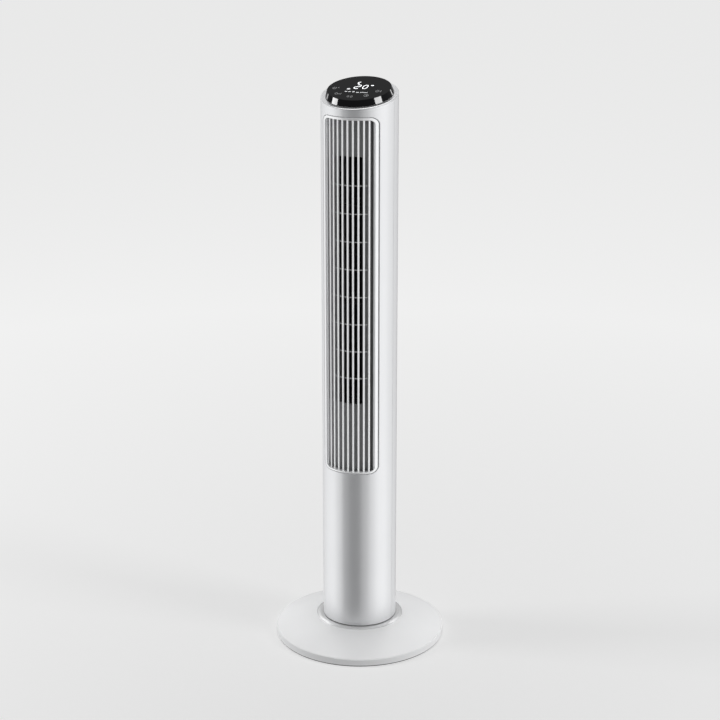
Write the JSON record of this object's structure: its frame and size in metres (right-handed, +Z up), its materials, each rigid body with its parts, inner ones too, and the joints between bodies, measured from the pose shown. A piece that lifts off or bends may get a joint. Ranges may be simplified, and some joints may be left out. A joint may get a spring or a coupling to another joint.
{
  "type": "tower fan",
  "caption": "Tall round tower fan: tilted glossy control head on a swinging column with a barred front outlet, slotted rear intake and a low disc base.",
  "frame": {"origin": "middle of the base on the floor", "axes": "+Z up along the column, -Y towards the front grille at rest"},
  "size_m": [0.3, 0.3, 0.9984],
  "materials": {
    "silver_shell": "satin silver-white paint on ABS",
    "silver_trim": "satin silver trim",
    "base_white": "soft semi-gloss white",
    "guard_grey": "dark grey moulded",
    "rib_grey": "mid grey moulded",
    "black_gloss": "polished black",
    "black_plastic": "black moulded",
    "white_nylon": "natural acetal",
    "steel": "zinc plated",
    "dark_iron": "cast",
    "lamination": "stacked laminations",
    "copper": "varnished winding",
    "bronze": "sintered bronze",
    "rubber": "moulded rubber",
    "board_green": "solder mask"
  },
  "bodies": {
    "base": {"base_cover": "base_white", "base_plate": "black_plastic", "counterweight": "dark_iron", "counterweight_screws": "steel", "rubber_feet": "rubber", "base_screws": "steel", "pivot_post": "steel", "post_screws": "steel", "fixed_gear": "white_nylon", "post_washers": "white_nylon", "post_nut": "steel", "slide_ring": "white_nylon", "base_collar": "base_white", "cord_gland": "rubber"},
    "column": {"front_shell": "silver_shell", "rear_shell": "silver_shell", "shell_screws": "steel", "front_grille": "silver_shell", "finger_guard": "rib_grey", "outlet_panel": "guard_grey", "rear_grille": "silver_shell", "turntable": "black_plastic", "turntable_screws": "steel", "swing_motor": "steel", "swing_motor_screws": "steel", "duct_floor": "black_plastic", "duct_ceiling": "black_plastic", "scroll_wall": "black_plastic", "duct_tongue": "black_plastic", "motor_mount": "steel", "motor_lower_bell": "steel", "motor_upper_bell": "steel", "motor_bushes": "bronze", "stator_stack": "lamination", "stator_coils": "copper", "motor_bolts": "steel", "motor_isolators": "rubber", "upper_bush": "bronze", "bush_holder": "rubber", "top_ring": "silver_trim", "display_lens": "black_gloss", "display_carrier": "black_plastic", "carrier_screws": "steel", "touch_board": "board_green", "board_screws": "steel", "touch_springs": "steel", "display_module": "black_plastic", "power_board": "board_green", "board_parts": "black_plastic"},
    "swing_gear": {"swing_pinion": "white_nylon"},
    "impeller": {"impeller_segment_1": "black_plastic", "impeller_segment_2": "black_plastic", "impeller_segment_3": "black_plastic", "impeller_segment_4": "black_plastic", "impeller_segment_5": "black_plastic", "drive_disc": "black_plastic", "set_screw": "steel", "motor_shaft": "steel", "rotor_core": "lamination", "top_cap": "black_plastic"}
  },
  "joints": [
    {"name": "column_swing", "type": "hinge", "parent": "base", "child": "column", "pos_m": [0, 0, 0.038], "axis": [0, 0, 1], "range_deg": [-40, 40]},
    {"name": "pinion_turn", "type": "hinge", "parent": "column", "child": "swing_gear", "pos_m": [0.0362, 0, 0.023], "axis": [0, 0, 1], "range_deg": [-200, 200]},
    {"name": "impeller_spin", "type": "hinge", "parent": "column", "child": "impeller", "pos_m": [0, 0.009, 0.45], "axis": [0, 0, 1], "continuous": true}
  ],
  "couplings": [
    {"joint": "pinion_turn", "follows": "column_swing", "ratio": 5}
  ]
}
